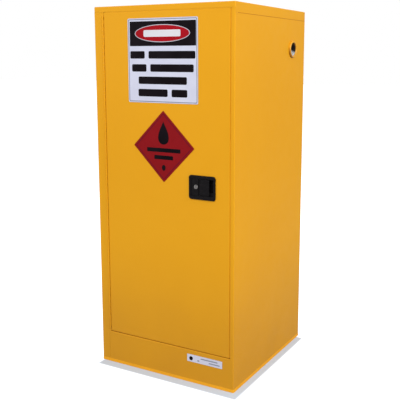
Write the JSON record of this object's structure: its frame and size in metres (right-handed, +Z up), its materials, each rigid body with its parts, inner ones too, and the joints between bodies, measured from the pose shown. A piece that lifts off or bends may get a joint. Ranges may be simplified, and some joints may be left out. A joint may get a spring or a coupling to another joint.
{
  "type": "flammable storage cabinet",
  "caption": "Tall yellow double-wall steel safety cabinet with a hinged door, paddle latch, shelves, spill sump and vents.",
  "frame": {"origin": "on the floor, at the middle of the cabinet's footprint", "axes": "+Z up, -Y out of the door face, +X to the right of a person facing the door (the latch side)"},
  "size_m": [0.608, 0.6194, 1.4],
  "materials": {
    "yellow_paint": "satin powder coat with a fine orange peel",
    "zinc_plate": "bright zinc plating",
    "galvanised_steel": "dull galvanised sheet",
    "black_plastic": "fine-grained moulded plastic",
    "lock_metal": "satin nickel",
    "brass_mesh": "fine woven mesh",
    "white_label": "printed label, satin",
    "red_label": "printed label, satin"
  },
  "bodies": {
    "cabinet": {"left_side_panel": "yellow_paint", "right_side_panel": "yellow_paint", "back_panel": "yellow_paint", "top_cap": "yellow_paint", "door_header": "yellow_paint", "plinth_panel": "yellow_paint", "liner_left": "yellow_paint", "liner_right": "yellow_paint", "liner_back": "yellow_paint", "liner_ceiling": "yellow_paint", "sump_tray": "yellow_paint", "vent_flange_upper": "yellow_paint", "vent_flange_lower": "yellow_paint", "hinge_frame_leaf": "yellow_paint", "side_strike": "zinc_plate", "vent_socket_upper": "zinc_plate", "vent_socket_lower": "zinc_plate", "hinge_pin": "zinc_plate", "base_plate": "galvanised_steel", "shelf_upright_left_front": "galvanised_steel", "shelf_upright_left_rear": "galvanised_steel", "shelf_upright_right_front": "galvanised_steel", "shelf_upright_right_rear": "galvanised_steel", "shelf_bracket_1_left": "galvanised_steel", "shelf_bracket_1_right": "galvanised_steel", "shelf_bracket_2_left": "galvanised_steel", "shelf_bracket_2_right": "galvanised_steel", "shelf_bracket_3_left": "galvanised_steel", "shelf_bracket_3_right": "galvanised_steel", "flame_arrester_upper": "brass_mesh", "flame_arrester_lower": "brass_mesh", "makers_plate": "white_label"},
    "door": {"door_outer_skin": "yellow_paint", "door_inner_skin": "yellow_paint", "door_stiffener": "galvanised_steel", "hinge_door_leaf": "yellow_paint", "handle_housing": "black_plastic", "paddle_pin": "zinc_plate", "lock_barrel": "lock_metal", "latch_case": "galvanised_steel", "rod_guide_upper": "galvanised_steel", "rod_guide_lower": "galvanised_steel", "warning_sign": "white_label", "hazard_diamond": "red_label"},
    "paddle": {"handle_paddle": "black_plastic"},
    "lock_plug": {"lock_plug": "lock_metal"},
    "latch_cam": {"latch_cam": "zinc_plate"},
    "upper_rod": {"upper_latch_rod": "zinc_plate"},
    "lower_rod": {"lower_latch_rod": "zinc_plate"},
    "centre_bolt": {"centre_latch_bolt": "zinc_plate"},
    "shelf_1": {"shelf_1": "galvanised_steel"},
    "shelf_2": {"shelf_2": "galvanised_steel"},
    "shelf_3": {"shelf_3": "galvanised_steel"},
    "sump_grate": {"sump_grate": "galvanised_steel"},
    "vent_bung": {"vent_bung": "black_plastic"},
    "foot_front_left": {"levelling_foot_front_left": "zinc_plate"},
    "foot_front_right": {"levelling_foot_front_right": "zinc_plate"},
    "foot_rear_left": {"levelling_foot_rear_left": "zinc_plate"},
    "foot_rear_right": {"levelling_foot_rear_right": "zinc_plate"}
  },
  "joints": [
    {"name": "door_hinge", "type": "hinge", "parent": "cabinet", "child": "door", "pos_m": [-0.26, -0.30575, 0.754], "axis": [0, 0, -1], "range_deg": [0, 175]},
    {"name": "paddle_pull", "type": "hinge", "parent": "door", "child": "paddle", "pos_m": [0.16, -0.30375, 0.754], "axis": [0, 0, -1], "range_deg": [0, 30], "stiffness_Nm_per_rad": 0.5, "springref_deg": -17.19},
    {"name": "cam_turn", "type": "hinge", "parent": "door", "child": "latch_cam", "pos_m": [0.178, -0.28425, 0.756], "axis": [0, -1, 0], "range_deg": [0, 15]},
    {"name": "upper_rod_slide", "type": "slide", "parent": "door", "child": "upper_rod", "axis": [0, 0, -1], "range_m": [0, 0.00804]},
    {"name": "lower_rod_slide", "type": "slide", "parent": "door", "child": "lower_rod", "axis": [0, 0, 1], "range_m": [0, 0.00804]},
    {"name": "centre_bolt_slide", "type": "slide", "parent": "door", "child": "centre_bolt", "axis": [-1, 0, 0], "range_m": [0, 0.00804]},
    {"name": "key_turn", "type": "hinge", "parent": "door", "child": "lock_plug", "pos_m": [0.1448, -0.30525, 0.7547], "axis": [0, -1, 0], "range_deg": [0, 90]},
    {"name": "shelf_1_lift", "type": "slide", "parent": "cabinet", "child": "shelf_1", "axis": [0, 0, 1], "range_m": [0, 0.06]},
    {"name": "shelf_2_lift", "type": "slide", "parent": "cabinet", "child": "shelf_2", "axis": [0, 0, 1], "range_m": [0, 0.06]},
    {"name": "shelf_3_lift", "type": "slide", "parent": "cabinet", "child": "shelf_3", "axis": [0, 0, 1], "range_m": [0, 0.06]},
    {"name": "grate_lift", "type": "slide", "parent": "cabinet", "child": "sump_grate", "axis": [0, 0, 1], "range_m": [0, 0.1]},
    {"name": "vent_bung_out", "type": "slide", "parent": "cabinet", "child": "vent_bung", "axis": [-1, 0, 0], "range_m": [0, 0.03]},
    {"name": "foot_front_left_level", "type": "slide", "parent": "cabinet", "child": "foot_front_left", "axis": [0, 0, -1], "range_m": [0, 0.015]},
    {"name": "foot_front_right_level", "type": "slide", "parent": "cabinet", "child": "foot_front_right", "axis": [0, 0, -1], "range_m": [0, 0.015]},
    {"name": "foot_rear_left_level", "type": "slide", "parent": "cabinet", "child": "foot_rear_left", "axis": [0, 0, -1], "range_m": [0, 0.015]},
    {"name": "foot_rear_right_level", "type": "slide", "parent": "cabinet", "child": "foot_rear_right", "axis": [0, 0, -1], "range_m": [0, 0.015]}
  ],
  "couplings": [
    {"joint": "paddle_pull", "follows": "cam_turn", "ratio": 2},
    {"joint": "upper_rod_slide", "follows": "cam_turn", "m_per_rad": 0.0307},
    {"joint": "lower_rod_slide", "follows": "cam_turn", "m_per_rad": 0.0307},
    {"joint": "centre_bolt_slide", "follows": "cam_turn", "m_per_rad": 0.0307}
  ]
}
